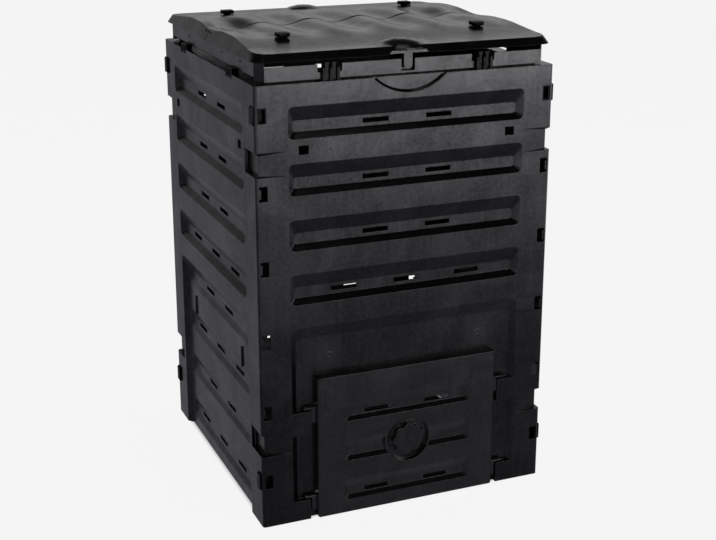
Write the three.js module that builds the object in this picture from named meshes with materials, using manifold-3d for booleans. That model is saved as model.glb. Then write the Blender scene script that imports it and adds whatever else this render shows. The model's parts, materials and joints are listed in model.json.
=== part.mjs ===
// Square garden compost bin: four slotted plastic walls that hook together at the corners, a lifting
// harvest door with a turning air knob, and a lid of two wings that hinge at the middle.
// Millimetres, +Z up, the door side faces -Y, the origin is on the ground under the middle of the bin.
import * as THREE from 'three';
import { mergeVertices } from 'three/addons/utils/BufferGeometryUtils.js';
import Module from 'manifold-3d';

const wasm = await Module();
wasm.setup();

// Overall sizes
const bodyHalf = 300;
const wallHeight = 859;
const skin = 3.2;
const clearance = 0.3;
const runningGap = 0.35;
const overrun = 4;
const cornerRadius = 6;

// Front and back walls turn the corner with a flange; the side walls tuck in behind it
const flangeDepth = 60;
const joggleWidth = 3.7;
const ledgeDepth = 28;

// Deep rows: a pressed-in trough with a long sloping roof, a flat slotted band and a short lower slope
const rowPitch = 104.8;
const rowMargin = 62;
const topRowDrop = 100.6;
const deepRow = {
  halfWidth: bodyHalf - rowMargin, height: 59, depth: 10.5, endRun: 13, topRun: 27, bottomRun: 11,
  radius: 9, cornerSteps: 2,
};
const sideRowMargin = 70;
const sideRowHalfWidth = bodyHalf - sideRowMargin;
const slot = { width: 52, height: 8.5, aboveRow: 21.5 };
const slotPairOffset = 64;
const slotTripleOffset = 128;

// Shallow rows of the lower side panels, set into a broad recess
const lowRecess = { top: 400, depth: 10, endRun: 12, topRun: 20, radius: 12, floorBelow: 60, cornerSteps: 2 };
const lowRowMargin = 94;
const lowRow = {
  halfWidth: bodyHalf - lowRowMargin, height: 46, depth: 5, endRun: 8, topRun: 16, bottomRun: 12, radius: 6,
  lowestSlot: 49, cornerSteps: 1,
};
const lowSlotAboveRow = 24;
const markerRib = { inset: 46, width: 4, height: 46, depth: 3, low: 276 };

// Corner windows, hooks and clips
const clipPitch = 142;
const lowestClip = 95;
const clipTopMargin = 40;
const clipCount = 1 + Math.floor((wallHeight - clipTopMargin - lowestClip) / clipPitch);
const clipWindow = { inset: 5.7, width: 16, height: 28 };
const hook = { height: 18, width: 3.7, reach: 8.5, proud: 1.1 };
const clip = {
  headThick: 3.7, headHeight: 35, headBevel: 2.5, headMargin: 1.6, rim: 1.5, pocket: 11, sink: 1.2,
};
const clipFinger = { start: 6.8, width: 12.4, reach: 20 };

// Square windows high on every wall
const gripWindow = { margin: 91.4, drop: 121.5, width: 19, height: 16 };

// Hand scoops pressed into the corners
const scoop = {
  depth: 8, run: 58, height: 45, slope: 6, slit: 2, aboveLowestClip: 53, belowTopClip: 112,
};

// Finger recess at the top of the front and back walls
const fingerRecess = { halfWidth: 74, drop: 31.5, depth: 5, steps: 12 };

// Door recess in the front wall, with the blocks that carry the door's pegs
const doorwayMargin = 128;
const doorway = { halfWidth: bodyHalf - doorwayMargin, height: 285 };
const doorOverlap = { side: 16.5, top: 11 };
const door = {
  halfWidth: doorway.halfWidth + doorOverlap.side, low: 2, high: doorway.height + doorOverlap.top,
  proud: 8, edge: 2.5,
};
const doorRecessAboveDoor = 101;
const doorRecess = {
  halfWidth: deepRow.halfWidth, top: door.high + doorRecessAboveDoor, depth: 10, endRun: 12, topRun: 24,
  radius: 14, cornerSteps: 2,
};
const upperBlockSizes = { gap: 10.5, height: 47.5, belowDoorTop: 68.5 };
const upperBlockHigh = door.high - upperBlockSizes.belowDoorTop;
const upperBlock = {
  inner: door.halfWidth + upperBlockSizes.gap, low: upperBlockHigh - upperBlockSizes.height,
  high: upperBlockHigh,
};
const lowerBlockSizes = { gap: 13.5, height: 42 };
const lowerBlock = { inner: door.halfWidth + lowerBlockSizes.gap, low: 0, high: lowerBlockSizes.height };
const pegHole = { width: 9, below: 20, above: 7 };

// Harvest door
const doorRowMargin = 54;
const doorRow = {
  halfWidth: door.halfWidth - doorRowMargin, height: 43, depth: 7, endRun: 9, topRun: 18, bottomRun: 8,
  radius: 5, cornerSteps: 1,
};
const doorRowCount = 3;
const lowestDoorRow = 30;
const doorRowTopMargin = 56;
const doorRowsTop = door.high - doorRowTopMargin - doorRow.height;
const doorRowPitch = (doorRowsTop - lowestDoorRow) / (doorRowCount - 1);
const doorSlotAboveRow = 14.5;
const peg = { radius: 4.5, reach: 25.5, sides: 12 };
const pegTab = { width: 10.2, thick: 6, height: 30 };
const lug = { neck: 5.5, overlap: 8, thick: 3.4, height: 40, lowest: 55, belowDoorTop: 132 };

// Air knob in the door
const knobAboveMiddleRow = 23.5;
const knobCup = {
  radius: 46, depth: 11, z: lowestDoorRow + doorRowPitch + knobAboveMiddleRow, sides: 32,
};
const knob = { baseRadius: 38, baseThick: 2.4, gripRadius: 30, lobe: 3.2, lobes: 8, steps: 5 };
const spindle = { radius: 6, sides: 16 };
const retainer = { radius: 14, thick: 2 };
const vent = { radius: 3.2, ring: 34.3, count: 4, sides: 10 };

// Lid frame that stands on the wall ledges: outer strips over a web and a leg ring, with cut corners
const frameInset = 10;
const frameCorner = { cutX: 13, cutY: 20 };
const frameRise = { endLow: 3, endHigh: 29, sideLow: 11, sideHigh: 38 };
const frame = {
  half: bodyHalf - frameInset, cornerX: bodyHalf - frameInset - frameCorner.cutX,
  cornerY: bodyHalf - frameInset - frameCorner.cutY, thick: 3, legInset: 11,
  endLow: wallHeight + frameRise.endLow, endHigh: wallHeight + frameRise.endHigh,
  sideLow: wallHeight + frameRise.sideLow, sideHigh: wallHeight + frameRise.sideHigh,
};
const frameDrain = { width: 7, height: 4, drop: 10, placeShares: [-0.67, -0.29, 0.48] };
const bracketMargin = 146.5;
const bracketOffset = bodyHalf - bracketMargin;
const bracketCut = { width: 47, floor: 12 };
const latchCut = { width: 27, floor: 4 };
const bracket = {
  width: 33, web: 3, proud: 7.7, slope: 4, rib: 5, ribs: 3, topDrop: 2, lip: 3, legDrop: 8,
};
const saddle = { face: 1, inner: 13.7, lipDrop: 9, tooth: 5, gap: 9, toothDepth: 4 };
const sideNotch = { width: 40, depth: 14, drop: 8 };

// Lid wings: a gabled skin with front-to-back waves inside a sloping rim with rounded corners
const lidInset = 1;
const lidRim = { run: 8, height: 14, aboveFrame: 1 };
const lid = {
  topHalf: bodyHalf - lidInset - lidRim.run, edgeHalf: bodyHalf - lidInset,
  edgeTop: frame.sideHigh + lidRim.aboveFrame + lidRim.height, edgeLow: frame.sideHigh + lidRim.aboveFrame,
  skin: 2.8, cornerRadius: 27, cornerSteps: 3,
};
const crown = { height: 11.5, run: 170, sideFall: 5.5, fallRun: 85, sideRun: 180 };
const waveMargin = { faded: 96, last: 9 };
const wave = {
  pitch: 105, shift: 23, height: 5, flat: 60, sideRun: 34, faded: lid.topHalf - waveMargin.faded,
  last: lid.topHalf - waveMargin.last,
};
const lidSteps = { perWave: 4, along: 6 };
const seamGap = 0.8;
const earGap = 4.5;
const earBaseHalf = 0.8;
const hinge = {
  inset: 34, belowEdge: 1.5, pinRadius: 2.5, earRadius: 4.7, earThick: 4.5, lugThick: 6, sides: 16,
  earSteps: 6,
};
const hingeZ = lid.edgeTop - hinge.belowEdge;
const earOuter = frame.half - earGap;
const earInner = earOuter - hinge.earThick;
const seamStrip = { halfLength: 38, thick: 1.2, below: 22 };
const tailSlit = { gapInside: 0.5, gapOutside: 0.5, start: 21.5 };
const dome = {
  radius: 47, proud: 5, height: 9, sides: 24, holeOffset: 12.5, holeWidth: 4, holeLength: 6,
};
const domeLevels = [
  { radiusShare: 0.98, fallShare: 1.4 }, { radiusShare: 0.9, fallShare: 1.05 },
  { radiusShare: 0.7, fallShare: 0.55 }, { radiusShare: 0.38, fallShare: 0.12 },
];
const thumbNotch = { halfTop: 35, halfLow: 52, set: 7, high: 6 };
const latchTab = { width: 17, thick: 3, height: 43, topDrop: 1 };

// Stiffening bars under the wings and the clips that hold them
const braceMargin = { end: 68, side: 121 };
const brace = {
  halfLength: frame.half - braceMargin.end, width: 26, thick: 5, lip: 3, lipDrop: 6,
  y: lid.topHalf - braceMargin.side, gap: 0.5,
};
const topClipInset = 22;
const topClip = {
  x: brace.halfLength - topClipInset, width: 24, depth: 22, height: 7, shank: 12, shankWidth: 9, foot: 5,
  bevel: 2,
};
const topClipMark = { width: 4, spacing: 9, depth: 1.2 };

// Plastic
const plastic = (color, roughness) => new THREE.MeshStandardMaterial({ color, roughness, metalness: 0 });
const wallPlastic = plastic(0x2b2b2e, 0.5);
const doorPlastic = plastic(0x29292d, 0.48);
const lidPlastic = plastic(0x303035, 0.5);
const clipPlastic = plastic(0x18181a, 0.4);
const knobPlastic = plastic(0x242428, 0.45);

// Solids from three.js shapes
function solid(geometry) {
  const bare = geometry.clone();
  bare.deleteAttribute('normal');
  bare.deleteAttribute('uv');
  const welded = mergeVertices(bare);
  const vertProperties = new Float32Array(welded.attributes.position.array);
  const triVerts = new Uint32Array(welded.index.array);
  return new wasm.Manifold(new wasm.Mesh({ numProp: 3, vertProperties, triVerts }));
}

function geometryOf(body) {
  const mesh = body.getMesh();
  const geometry = new THREE.BufferGeometry();
  geometry.setAttribute('position', new THREE.BufferAttribute(new Float32Array(mesh.vertProperties), 3));
  geometry.setIndex(new THREE.BufferAttribute(new Uint32Array(mesh.triVerts), 1));
  geometry.computeVertexNormals();
  return geometry;
}

function box(x0, x1, y0, y1, z0, z1) {
  const geometry = new THREE.BoxGeometry(Math.abs(x1 - x0), Math.abs(y1 - y0), Math.abs(z1 - z0));
  geometry.translate((x0 + x1) / 2, (y0 + y1) / 2, (z0 + z1) / 2);
  return solid(geometry);
}

function shapeOf(points) {
  return new THREE.Shape(points.map(([a, b]) => new THREE.Vector2(a, b)));
}

// A plan outline raised along Z
function rise(shape, z0, z1) {
  const options = { depth: z1 - z0, bevelEnabled: false, curveSegments: 4 };
  const geometry = new THREE.ExtrudeGeometry(shape, options);
  geometry.translate(0, 0, z0);
  return solid(geometry);
}

// An outline in X and Z carried from depth y0 to y1
function through(points, y0, y1) {
  const geometry = new THREE.ExtrudeGeometry(shapeOf(points), { depth: y1 - y0, bevelEnabled: false });
  const axes = [new THREE.Vector3(1, 0, 0), new THREE.Vector3(0, 0, 1), new THREE.Vector3(0, -1, 0)];
  geometry.applyMatrix4(new THREE.Matrix4().makeBasis(...axes));
  geometry.translate(0, y1, 0);
  return solid(geometry);
}

// An outline in Y and Z carried from x0 to x1
function sideways(points, x0, x1) {
  const geometry = new THREE.ExtrudeGeometry(shapeOf(points), { depth: x1 - x0, bevelEnabled: false });
  const axes = [new THREE.Vector3(0, 1, 0), new THREE.Vector3(0, 0, 1), new THREE.Vector3(1, 0, 0)];
  geometry.applyMatrix4(new THREE.Matrix4().makeBasis(...axes));
  geometry.translate(x0, 0, 0);
  return solid(geometry);
}

const halfStepShare = 0.5;

function ring(radius, sides, x, z, offsetShare = 0) {
  const turn = (2 * Math.PI) / sides;
  return Array.from({ length: sides }, (_, i) => {
    const angle = turn * (i + offsetShare);
    return [x + radius * Math.cos(angle), z + radius * Math.sin(angle)];
  });
}

function joined(bodies) {
  return bodies.reduce((whole, body) => whole.add(body));
}

function cutBy(body, cutters) {
  return cutters.length ? body.subtract(joined(cutters)) : body;
}

function mirroredPair(make) {
  return [-1, 1].map(make);
}

// Outline with rounded corners, in X and Z
function roundedOutline(halfWidth, low, high, radius, steps) {
  const points = [];
  const corners = [
    [halfWidth - radius, low + radius, -Math.PI / 2],
    [halfWidth - radius, high - radius, 0],
    [-halfWidth + radius, high - radius, Math.PI / 2],
    [-halfWidth + radius, low + radius, Math.PI],
  ];
  for (const [x, z, start] of corners) {
    for (let i = 0; i <= steps; i += 1) {
      const angle = start + (Math.PI / 2) * (i / steps);
      points.push([x + radius * Math.cos(angle), z + radius * Math.sin(angle)]);
    }
  }
  return points;
}

// Closed solid through outlines that lie one behind the other along Y
function loft(sections) {
  const count = sections[0].points.length;
  const positions = sections.flatMap(({ points, y }) => points.flatMap(([x, z]) => [x, y, z]));
  const index = [];
  for (let i = 1; i < count - 1; i += 1) {
    const far = (sections.length - 1) * count;
    index.push(0, i, i + 1);
    index.push(far, far + i + 1, far + i);
  }
  for (let s = 0; s < sections.length - 1; s += 1) {
    for (let i = 0; i < count; i += 1) {
      const next = (i + 1) % count;
      const [a, b] = [s * count + i, s * count + next];
      index.push(b, a, a + count);
      index.push(b, a + count, b + count);
    }
  }
  const geometry = new THREE.BufferGeometry();
  geometry.setAttribute('position', new THREE.Float32BufferAttribute(positions, 3));
  geometry.setIndex(index);
  return solid(geometry);
}

// A trough pressed into a panel. Its cavity is cut out of its shell, which hangs behind the panel.
function troughCavity(row, low, face = 0) {
  const mouth = roundedOutline(row.halfWidth, low, low + row.height, row.radius, row.cornerSteps);
  const floor = roundedOutline(
    row.halfWidth - row.endRun, low + row.bottomRun, low + row.height - row.topRun, row.radius / 2,
    row.cornerSteps,
  );
  return loft([
    { points: mouth, y: face - overrun },
    { points: mouth, y: face },
    { points: floor, y: face + row.depth },
  ]);
}

function troughShell(row, low, wall, face = 0) {
  const mouth = roundedOutline(
    row.halfWidth + wall, low - wall, low + row.height + wall, row.radius + wall, row.cornerSteps,
  );
  const floor = roundedOutline(
    row.halfWidth - row.endRun + wall,
    low + row.bottomRun - wall,
    low + row.height - row.topRun + wall,
    row.radius / 2 + wall,
    row.cornerSteps,
  );
  return loft([
    { points: mouth, y: face + wall / 2 },
    { points: floor, y: face + row.depth + wall },
  ]);
}

function slotCut(x, z, reach) {
  const [w, h] = [slot.width / 2, slot.height / 2];
  return box(x - w, x + w, -overrun, reach, z - h, z + h);
}

function slotRow(count, z, reach) {
  const places = count === 2 ? [-slotPairOffset, slotPairOffset] : [-slotTripleOffset, 0, slotTripleOffset];
  return places.map((x) => slotCut(x, z, reach));
}

const slotReach = deepRow.depth + skin + overrun;

// Lower edges of the deep rows from the top down to the lower panel
const topDeepRow = wallHeight - topRowDrop;
const deepRowCount = 1 + Math.floor((topDeepRow - doorRecess.top) / rowPitch);
const deepRowLows = Array.from({ length: deepRowCount }, (_, i) => topDeepRow - rowPitch * i);

function deepRows(halfWidth) {
  const row = { ...deepRow, halfWidth };
  const slotCount = (i) => (i === deepRowCount - 1 ? 3 : 2);
  return {
    shells: deepRowLows.map((low) => troughShell(row, low, skin)),
    cuts: deepRowLows.flatMap((low, i) => [
      troughCavity(row, low), ...slotRow(slotCount(i), low + slot.aboveRow, slotReach),
    ]),
  };
}

// The recessed lower half of a side or back wall, with its shallow rows
function lowerPanel(halfWidth) {
  const recess = {
    ...lowRecess, halfWidth, height: lowRecess.top + lowRecess.floorBelow, bottomRun: lowRecess.radius,
  };
  const count = 1 + Math.floor((lowRecess.top - lowRow.lowestSlot) / rowPitch);
  const lows = Array.from({ length: count }, (_, i) => (
    lowRow.lowestSlot - lowSlotAboveRow + rowPitch * (count - 1 - i)
  ));
  const slotCount = (i) => (i % 2 ? 3 : 2);
  const offset = lowRow.halfWidth - markerRib.inset;
  const ribs = mirroredPair((side) => box(
    side * offset - markerRib.width / 2, side * offset + markerRib.width / 2,
    recess.depth - markerRib.depth, recess.depth + skin / 2, markerRib.low, markerRib.low + markerRib.height,
  ));
  const reach = recess.depth + lowRow.depth + skin + overrun;
  return {
    shells: [
      troughShell(recess, -lowRecess.floorBelow, skin),
      ...lows.map((low) => troughShell(lowRow, low, skin, recess.depth)),
    ],
    recess: troughCavity(recess, -lowRecess.floorBelow),
    ribs,
    cuts: lows.flatMap((low, i) => [
      troughCavity(lowRow, low, recess.depth), ...slotRow(slotCount(i), low + lowSlotAboveRow, reach),
    ]),
  };
}

function gripWindows() {
  const { margin, drop, width, height } = gripWindow;
  const [w, h] = [width / 2, height / 2];
  const [offset, z] = [bodyHalf - margin, wallHeight - drop];
  return mirroredPair((side) => box(
    side * offset - w, side * offset + w, -overrun, skin + overrun, z - h, z + h,
  ));
}

function belowGround() {
  const half = bodyHalf + overrun;
  const deep = lowRecess.floorBelow + skin + overrun;
  return box(-half, half, -overrun, flangeDepth + overrun, -deep, 0);
}

const clipHeights = Array.from({ length: clipCount }, (_, i) => lowestClip + clipPitch * i);
const clippedHeights = [clipHeights[0], clipHeights[clipCount - 1]];
const hookedHeights = clipHeights.slice(1, -1);
const scoopLows = [clippedHeights[0] + scoop.aboveLowestClip, clippedHeights[1] - scoop.belowTopClip];

// Plan of a wall with its two corner flanges, rounded outside
function flangedPlan() {
  const shape = new THREE.Shape();
  const inner = bodyHalf - skin;
  shape.moveTo(-bodyHalf, flangeDepth);
  shape.lineTo(-bodyHalf, cornerRadius);
  shape.absarc(-bodyHalf + cornerRadius, cornerRadius, cornerRadius, Math.PI, 1.5 * Math.PI, false);
  shape.lineTo(bodyHalf - cornerRadius, 0);
  shape.absarc(bodyHalf - cornerRadius, cornerRadius, cornerRadius, 1.5 * Math.PI, 2 * Math.PI, false);
  shape.lineTo(bodyHalf, flangeDepth);
  shape.lineTo(inner, flangeDepth);
  shape.lineTo(inner, skin);
  shape.lineTo(-inner, skin);
  shape.lineTo(-inner, flangeDepth);
  return shape;
}

function scoopPlans(side) {
  const start = bodyHalf - scoop.run;
  const deep = bodyHalf - scoop.depth;
  const past = bodyHalf + overrun;
  const rear = flangeDepth + overrun;
  const cavity = [
    [start, 0], [start, -overrun], [past, -overrun], [past, rear], [deep, rear], [deep, scoop.depth],
  ];
  const shell = [
    [start - skin, skin / 2], [bodyHalf - skin / 2, skin / 2],
    [bodyHalf - skin / 2, flangeDepth - scoop.slit],
    [deep - skin, flangeDepth - scoop.slit], [deep - skin, scoop.depth + skin], [start - skin, skin],
  ];
  const turned = (points) => shapeOf(points.map(([x, y]) => [side * x, y]));
  return { cavity: turned(cavity), shell: turned(shell) };
}

// The part of a scoop under its sloping top, which falls with the depth from the wall's face and flank
function underSlope(body, side, top) {
  const fall = scoop.slope / scoop.depth;
  const size = Math.hypot(fall, 1);
  const front = body.trimByPlane([0, -fall, -1], -top / size);
  const flank = body.trimByPlane([side * fall, 0, -1], (fall * bodyHalf - top) / size);
  return front.add(flank);
}

function scoops() {
  const shells = [];
  const cuts = [];
  for (const side of [-1, 1]) {
    for (const low of scoopLows) {
      const plans = scoopPlans(side);
      const top = low + scoop.height;
      shells.push(underSlope(rise(plans.shell, low - skin, top + skin), side, top + skin));
      cuts.push(underSlope(rise(plans.cavity, low, top), side, top));
    }
  }
  return { shells, cuts };
}

function fingerRecessOutline(grow) {
  const { halfWidth, drop } = fingerRecess;
  const radius = (halfWidth ** 2 + drop ** 2) / (2 * drop);
  const centre = wallHeight - drop + radius;
  const reach = Math.asin(halfWidth / radius);
  return Array.from({ length: fingerRecess.steps + 1 }, (_, i) => {
    const angle = -reach + (2 * reach * i) / fingerRecess.steps;
    return [(radius + grow) * Math.sin(angle), centre - (radius + grow) * Math.cos(angle)];
  });
}

function fingerRecessSolids() {
  const closed = (points, top) => {
    const [left, right] = [points[0][0], points[points.length - 1][0]];
    return [[left, top], ...points, [right, top]];
  };
  const shell = closed(fingerRecessOutline(skin), wallHeight - skin / 2);
  const cavity = closed(fingerRecessOutline(0), wallHeight + overrun);
  return {
    shell: through(shell, skin / 2, fingerRecess.depth + skin),
    cut: through(cavity, -overrun, fingerRecess.depth),
  };
}

function cornerWindows() {
  const high = bodyHalf - clipWindow.inset;
  const low = high - clipWindow.width;
  const half = clipWindow.height / 2;
  const fingerLow = clipFinger.start - clearance;
  const fingerHigh = clipFinger.start + clipFinger.width + clearance;
  return mirroredPair((side) => [
    ...clipHeights.map((z) => box(side * low, side * high, -overrun, skin + overrun, z - half, z + half)),
    ...clippedHeights.map((z) => box(
      side * (bodyHalf - skin - overrun), side * (bodyHalf + overrun), fingerLow, fingerHigh,
      z - half, z + half,
    )),
  ]).flat();
}

function topLedge() {
  const half = bodyHalf - skin / 2;
  return box(-half, half, skin / 2, ledgeDepth, wallHeight - skin, wallHeight);
}

// Front wall, with the door recess
function pegBlock(block, side) {
  const back = doorRecess.depth + skin;
  const outer = doorRecess.halfWidth + skin;
  return {
    shell: box(side * block.inner, side * outer, 0, back, block.low, block.high),
    cut: box(
      side * (block.inner + skin), side * (outer - skin), skin, back + overrun,
      block.low + skin, block.high - skin,
    ),
  };
}

const upperPegZ = upperBlock.high + clearance + peg.radius;
const lowerPegZ = lowerBlock.high + clearance + peg.radius;

function frontWall() {
  const rows = deepRows(deepRow.halfWidth);
  const recess = {
    ...doorRecess, height: doorRecess.top + lowRecess.floorBelow, bottomRun: doorRecess.radius,
  };
  const corner = scoops();
  const finger = fingerRecessSolids();
  const blocks = [upperBlock, lowerBlock].flatMap((block) => mirroredPair((side) => pegBlock(block, side)));
  const behind = doorRecess.depth + skin + overrun;
  const opening = box(
    -doorway.halfWidth, doorway.halfWidth, -overrun, behind, -overrun, doorway.height,
  );
  const pegHoles = [upperPegZ, lowerPegZ].flatMap((z) => mirroredPair((side) => box(
    side * (door.halfWidth + clearance), side * (door.halfWidth + clearance + pegHole.width),
    doorRecess.depth - skin, behind, z - pegHole.below, z + pegHole.above,
  )));
  const plate = rise(flangedPlan(), 0, wallHeight);
  const shells = [
    plate, topLedge(), finger.shell, ...rows.shells, troughShell(recess, -lowRecess.floorBelow, skin),
    ...corner.shells,
  ];
  const hollowed = cutBy(joined(shells), [
    ...rows.cuts, troughCavity(recess, -lowRecess.floorBelow), finger.cut, ...corner.cuts,
  ]);
  return cutBy(joined([hollowed, ...blocks.map(({ shell }) => shell)]), [
    ...blocks.map(({ cut }) => cut), opening, ...pegHoles, ...cornerWindows(), ...gripWindows(),
    belowGround(),
  ]);
}

// Back wall: the side walls' rows between corner flanges
function backWall() {
  const rows = deepRows(deepRow.halfWidth);
  const lower = lowerPanel(deepRow.halfWidth);
  const corner = scoops();
  const finger = fingerRecessSolids();
  const plate = rise(flangedPlan(), 0, wallHeight);
  const shells = [plate, topLedge(), finger.shell, ...rows.shells, ...lower.shells, ...corner.shells];
  const hollowed = cutBy(joined(shells), [...rows.cuts, lower.recess, finger.cut, ...corner.cuts]);
  return cutBy(joined([hollowed, ...lower.ribs]), [
    ...lower.cuts, ...cornerWindows(), ...gripWindows(), belowGround(),
  ]);
}

// Side wall: flush with the flanges in the middle, stepped in behind them at both ends
const panelHalf = bodyHalf - flangeDepth - clearance;
const marginHalf = bodyHalf - skin - clearance;
const marginFace = skin + clearance;

function sidePlan() {
  const inner = panelHalf - joggleWidth;
  const right = [
    [panelHalf, 0], [panelHalf, marginFace], [marginHalf, marginFace], [marginHalf, marginFace + skin],
    [inner, marginFace + skin], [inner, skin],
  ];
  const left = right.map(([x, y]) => [-x, y]).reverse();
  return shapeOf([...right, ...left]);
}

function sideLedge() {
  const reach = bodyHalf - ledgeDepth - clearance;
  const right = [
    [panelHalf, skin / 2], [panelHalf, marginFace], [reach, marginFace], [reach, ledgeDepth],
  ];
  const left = right.map(([x, y]) => [-x, y]).reverse();
  return rise(shapeOf([...right, ...left]), wallHeight - skin, wallHeight);
}

function sideHooks() {
  const noseStart = clipWindow.inset + clearance;
  const root = marginHalf - hook.reach;
  const nose = bodyHalf - hook.proud;
  return hookedHeights.flatMap((z) => {
    const [low, high] = [z - hook.height / 2, z + hook.height / 2];
    return mirroredPair((side) => joined([
      box(side * root, side * marginHalf, marginFace, noseStart + hook.width, low, high),
      box(side * root, side * nose, noseStart, noseStart + hook.width, low, high),
    ]));
  });
}

function sideWall() {
  const rows = deepRows(sideRowHalfWidth);
  const lower = lowerPanel(sideRowHalfWidth);
  const shells = [rise(sidePlan(), 0, wallHeight), sideLedge(), ...rows.shells, ...lower.shells];
  const hollowed = cutBy(joined(shells), [...rows.cuts, lower.recess]);
  const far = bodyHalf + overrun;
  const behind = marginFace + skin + overrun;
  const fingerLow = bodyHalf - clipFinger.start - clipFinger.width - clearance;
  const fingerHigh = bodyHalf - clipFinger.start + clearance;
  const half = clipWindow.height / 2;
  const notchHalf = sideNotch.width / 2;
  const cuts = mirroredPair((side) => [
    ...scoopLows.map((low) => box(
      side * (panelHalf + clearance), side * far, 0, behind,
      low - skin - clearance, low + scoop.height + skin + clearance,
    )),
    ...clippedHeights.map((z) => box(side * fingerLow, side * fingerHigh, 0, behind, z - half, z + half)),
    box(
      side * (bodyHalf - ledgeDepth - clearance), side * far, 0, ledgeDepth + overrun,
      wallHeight - skin - clearance, wallHeight + overrun,
    ),
    box(
      side * bracketOffset - notchHalf, side * bracketOffset + notchHalf, -overrun, sideNotch.depth,
      wallHeight - sideNotch.drop, wallHeight + overrun,
    ),
  ]).flat();
  return cutBy(joined([hollowed, ...lower.ribs, ...sideHooks()]), [
    ...lower.cuts, ...cuts, ...gripWindows(), belowGround(),
  ]);
}

// Corner clip: a head outside the flange, a finger through flange and margin, a rimmed nose in the window
function cornerClip(side) {
  const half = clipWindow.height / 2 - clearance;
  const face = bodyHalf + clearance;
  const headHalf = clip.headHeight / 2;
  const head = through([
    [side * face, -headHalf], [side * (face + clip.headThick), -headHalf + clip.headBevel],
    [side * (face + clip.headThick), headHalf - clip.headBevel], [side * face, headHalf],
  ], clipFinger.start - clip.headMargin, clipFinger.start + clipFinger.width + clip.headMargin);
  const finger = box(
    side * (bodyHalf - clipFinger.reach), side * (face + clip.headThick / 2),
    clipFinger.start, clipFinger.start + clipFinger.width, -half, half,
  );
  const high = bodyHalf - Math.max(clipWindow.inset, marginFace + skin) - clearance;
  const low = bodyHalf - clipWindow.inset - clipWindow.width + clearance;
  const nose = box(side * low, side * high, clip.sink, clipFinger.start + clip.rim, -half, half);
  const pocket = box(
    side * (low + clip.rim), side * (high - clip.rim), clip.sink - overrun, clip.pocket,
    -half + clip.rim, half - clip.rim,
  );
  return cutBy(joined([head, finger, nose]), [pocket]);
}

// Harvest door, in the front wall's frame: its face stands proud, its rim runs back to the recess floor
const doorBack = doorRecess.depth - clearance;
const knobFace = -door.proud;
const cupFloor = knobFace + knobCup.depth;

function ventPlaces(turnShare) {
  const turn = (2 * Math.PI) / vent.count;
  return Array.from({ length: vent.count }, (_, i) => {
    const angle = turn * (i + turnShare) + Math.PI / knob.lobes;
    return [vent.ring * Math.cos(angle), knobCup.z + vent.ring * Math.sin(angle)];
  });
}

function ventHoles(turnShare, y0, y1) {
  return ventPlaces(turnShare).map(([x, z]) => through(ring(vent.radius, vent.sides, x, z), y0, y1));
}

function disc(radius, sides, y0, y1) {
  return through(ring(radius, sides, 0, knobCup.z), y0, y1);
}

function doorPegs() {
  const start = door.halfWidth - skin / 2;
  const pegY = doorBack - clearance - peg.radius;
  return [upperPegZ, lowerPegZ].flatMap((z) => mirroredPair((side) => {
    const bar = ring(peg.radius, peg.sides, pegY, z, halfStepShare);
    const ends = [side * start, side * (door.halfWidth + peg.reach)].sort((a, b) => a - b);
    const tab = box(
      side * start, side * (door.halfWidth + pegTab.width), pegY - pegTab.thick / 2, pegY + pegTab.thick / 2,
      z - pegTab.height, z,
    );
    return joined([sideways(bar, ...ends), tab]);
  }));
}

function doorLugs() {
  const neckOuter = doorway.halfWidth - runningGap;
  const hookFace = doorRecess.depth + skin + clearance;
  return [lug.lowest, door.high - lug.belowDoorTop].flatMap((low) => mirroredPair((side) => joined([
    box(
      side * (neckOuter - lug.neck), side * neckOuter, knobFace + skin / 2, hookFace + lug.thick,
      low, low + lug.height,
    ),
    box(
      side * (neckOuter - lug.neck), side * (doorway.halfWidth + lug.overlap), hookFace, hookFace + lug.thick,
      low, low + lug.height,
    ),
  ])));
}

function doorPanel() {
  const outline = (shrink, y) => ({
    points: roundedOutline(door.halfWidth - shrink, door.low + shrink, door.high - shrink, door.edge, 1),
    y,
  });
  const hollow = box(
    -door.halfWidth + skin, door.halfWidth - skin, knobFace + skin, doorBack + overrun,
    door.low + skin, door.high - skin,
  );
  const shell = cutBy(loft([
    outline(door.edge, knobFace), outline(0, knobFace + door.edge), outline(0, doorBack),
  ]), [hollow]);
  const lows = Array.from({ length: doorRowCount }, (_, i) => lowestDoorRow + doorRowPitch * i);
  const slots = [lows[0], lows[doorRowCount - 1]].flatMap((low) => (
    slotRow(2, low + doorSlotAboveRow, doorRow.depth + skin + overrun).map((cut) => (
      cut.translate([0, knobFace, 0])
    ))
  ));
  const cup = disc(knobCup.radius + skin, knobCup.sides, knobFace + skin / 2, cupFloor + skin);
  const cupHollow = disc(knobCup.radius, knobCup.sides, knobFace - overrun, cupFloor);
  const [floorLow, floorHigh] = [cupFloor - overrun, cupFloor + skin + overrun];
  const bore = disc(spindle.radius + runningGap, spindle.sides, floorLow, floorHigh);
  const rows = lows.map((low) => troughShell(doorRow, low, skin, knobFace));
  const rowCuts = lows.map((low) => troughCavity(doorRow, low, knobFace));
  const skinned = cutBy(joined([shell, ...rows]), rowCuts);
  const vents = ventHoles(halfStepShare, floorLow, floorHigh);
  const cupped = cutBy(joined([skinned, cup]), [cupHollow, bore, ...vents]);
  return joined([cutBy(cupped, slots), ...doorPegs(), ...doorLugs()]);
}

// Air knob: a scalloped grip on a round base with vent holes, turning on a spindle through the cup floor
function gripOutline() {
  const count = knob.lobes * knob.steps;
  return Array.from({ length: count }, (_, i) => {
    const angle = (2 * Math.PI * i) / count;
    const radius = knob.gripRadius + knob.lobe * Math.cos(knob.lobes * angle);
    return [radius * Math.cos(angle), knobCup.z + radius * Math.sin(angle)];
  });
}

const baseBack = cupFloor - clearance;
const baseFront = baseBack - knob.baseThick;
const retainerFront = cupFloor + skin + clearance;

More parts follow.
